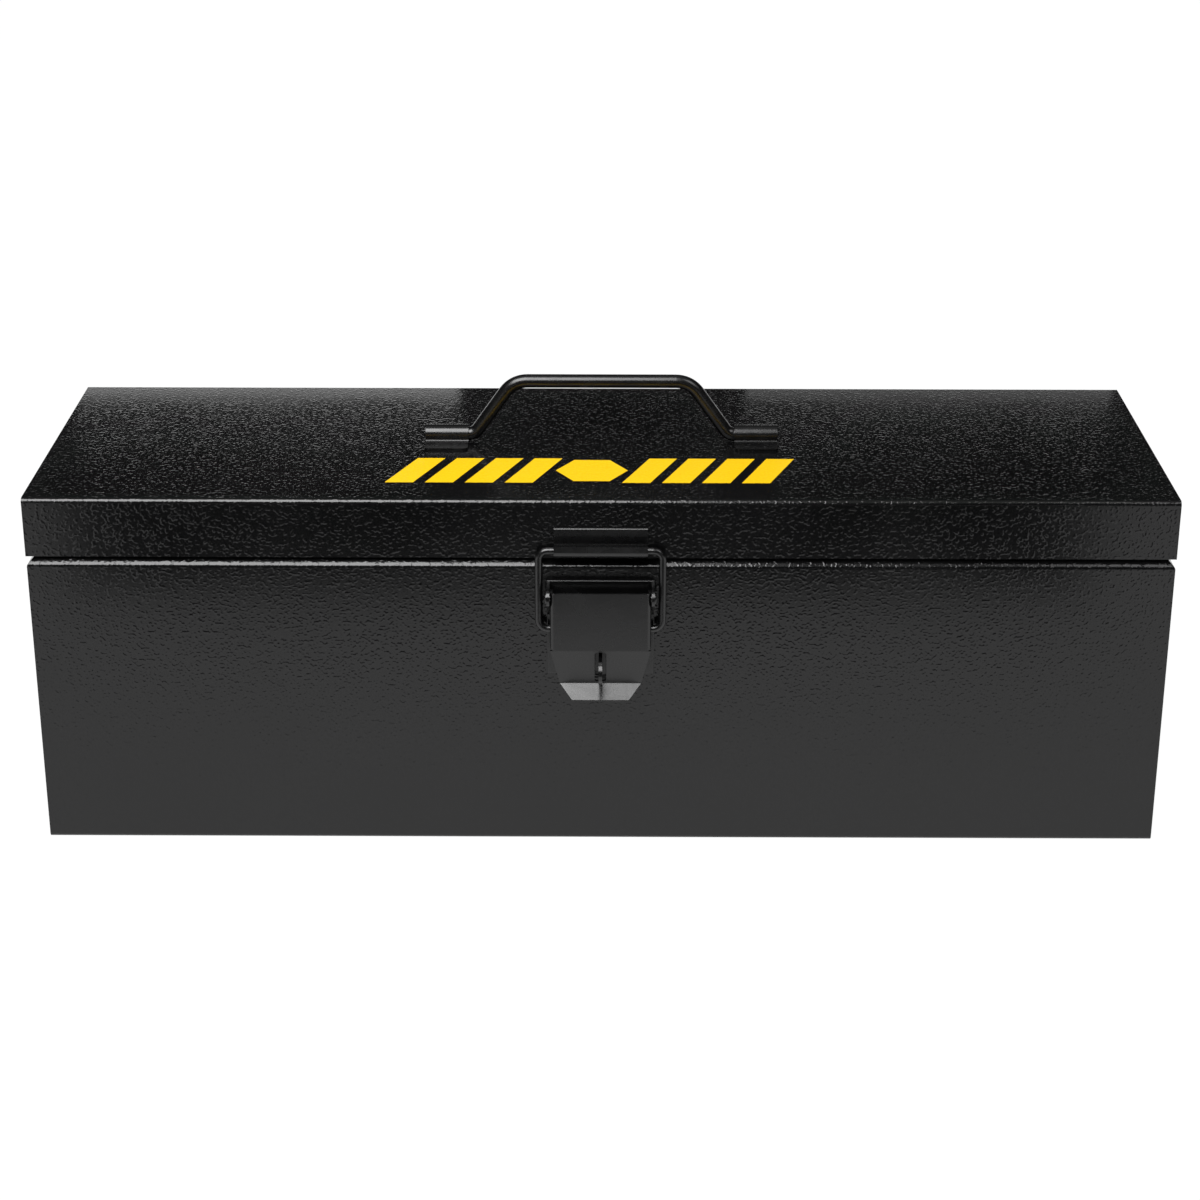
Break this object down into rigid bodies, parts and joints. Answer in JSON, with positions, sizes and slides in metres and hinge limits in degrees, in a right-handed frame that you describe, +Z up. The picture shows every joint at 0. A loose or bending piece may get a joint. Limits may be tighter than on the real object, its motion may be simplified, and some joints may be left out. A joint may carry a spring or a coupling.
{
  "type": "tool box",
  "caption": "Long black steel tool box with a hinged flat lid, a draw latch with a padlock staple, a folding top handle and a lift-out tray.",
  "frame": {"origin": "centre of the underside", "axes": "+X along the box's length, -Y towards the latch side, +Z up"},
  "size_m": [0.4856, 0.1717, 0.1895],
  "materials": {
    "shell_coat": "black wrinkle powder coat, satin",
    "fitting_coat": "smooth black coat, semi-gloss",
    "inner_steel_paint": "black paint, satin",
    "pin_steel": "zinc plated, bright",
    "tray_coat": "black powder coat, satin",
    "grip_vinyl": "moulded black vinyl, matte"
  },
  "bodies": {
    "body": {"body_wrap": "shell_coat", "right_end_panel": "shell_coat", "left_end_panel": "shell_coat", "right_tray_bracket": "inner_steel_paint", "left_tray_bracket": "inner_steel_paint", "body_hinge_leaf": "inner_steel_paint", "hinge_pin": "pin_steel", "latch_base_plate": "fitting_coat", "latch_rivets": "fitting_coat", "latch_pivot_pin": "fitting_coat", "padlock_staple": "fitting_coat"},
    "lid": {"lid_wrap": "shell_coat", "lid_right_end": "shell_coat", "lid_left_end": "shell_coat", "lid_hinge_leaf": "inner_steel_paint", "latch_keeper": "fitting_coat", "right_handle_clip": "fitting_coat", "left_handle_clip": "fitting_coat"},
    "lever": {"latch_lever": "fitting_coat"},
    "bail": {"latch_bail": "fitting_coat"},
    "handle": {"carry_handle": "fitting_coat"},
    "tray": {"tray_trough": "tray_coat", "tray_right_end": "tray_coat", "tray_left_end": "tray_coat", "tray_divider": "tray_coat", "tray_grip": "grip_vinyl"}
  },
  "joints": [
    {"name": "lid_hinge", "type": "hinge", "parent": "body", "child": "lid", "pos_m": [0, 0.07555, 0.13105], "axis": [-1, 0, 0], "range_deg": [0, 104]},
    {"name": "handle_pivot", "type": "hinge", "parent": "lid", "child": "handle", "pos_m": [0, 0, 0.16215], "axis": [1, 0, 0], "range_deg": [-90, 90]},
    {"name": "latch_lever_pivot", "type": "hinge", "parent": "body", "child": "lever", "pos_m": [0, -0.0838, 0.1174], "axis": [-1, 0, 0], "range_deg": [0, 160]},
    {"name": "bail_pivot", "type": "hinge", "parent": "lever", "child": "bail", "pos_m": [0, -0.0813, 0.1025], "axis": [-1, 0, 0], "range_deg": [-200, 0]},
    {"name": "tray_lift", "type": "slide", "parent": "body", "child": "tray", "axis": [0, 0, 1], "range_m": [0, 0.0235]}
  ],
  "couplings": [
    {"joint": "bail_pivot", "follows": "latch_lever_pivot", "ratio": -1.25}
  ]
}
